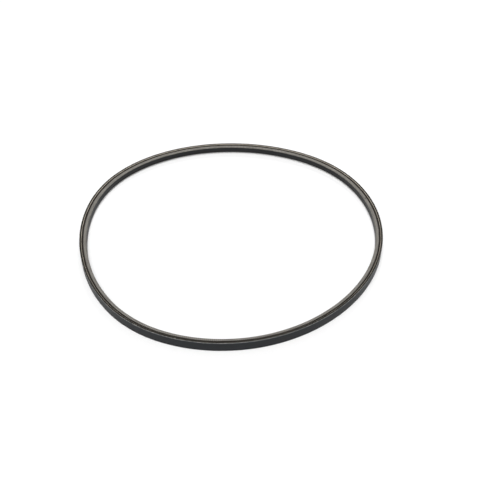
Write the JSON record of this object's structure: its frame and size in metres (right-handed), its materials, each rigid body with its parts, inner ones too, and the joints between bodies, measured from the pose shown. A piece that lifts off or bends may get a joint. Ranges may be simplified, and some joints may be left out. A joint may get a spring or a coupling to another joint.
{
  "type": "v belt",
  "caption": "Endless V belt with raw cut flanks: woven cover plies, tension cord in adhesion gum, cushion and fibre-filled compression rubber, and a bottom ply, lying as a near-round loop.",
  "frame": {"origin": "the middle of the loop, on the flat side that it lies on", "axes": "+Z square to the loop's plane, from the flank it lies on to the flank that faces up; +X and +Y in the loop's plane"},
  "size_m": [0.3983, 0.414, 0.0125],
  "materials": {
    "cover_fabric": "rubberised woven cloth, matt, near black",
    "inner_cover_fabric": "rubberised woven cloth, its cut yarn ends warm brown",
    "adhesion_gum": "smooth gum, dark brown to black, knife-cut",
    "polyester_cord": "twisted three-strand polyester, tan-white, treated",
    "cushion_rubber": "ground black rubber, matt",
    "compression_rubber": "ground fibre-filled rubber, light grey, matt",
    "bottom_fabric": "rubberised woven cloth, matt, near black"
  },
  "bodies": {
    "root": {"outer_fabric_ply": "cover_fabric", "inner_fabric_ply": "inner_cover_fabric", "upper_adhesion_gum": "adhesion_gum", "tension_cord_turn_1": "polyester_cord", "tension_cord_turn_2": "polyester_cord", "tension_cord_turn_3": "polyester_cord", "tension_cord_turn_4": "polyester_cord", "tension_cord_turn_5": "polyester_cord", "tension_cord_turn_6": "polyester_cord", "tension_cord_turn_7": "polyester_cord", "tension_cord_turn_8": "polyester_cord", "tension_cord_turn_9": "polyester_cord", "lower_adhesion_gum": "adhesion_gum", "cushion_rubber": "cushion_rubber", "compression_rubber": "compression_rubber", "bottom_fabric_ply": "bottom_fabric"}
  },
  "joints": []
}
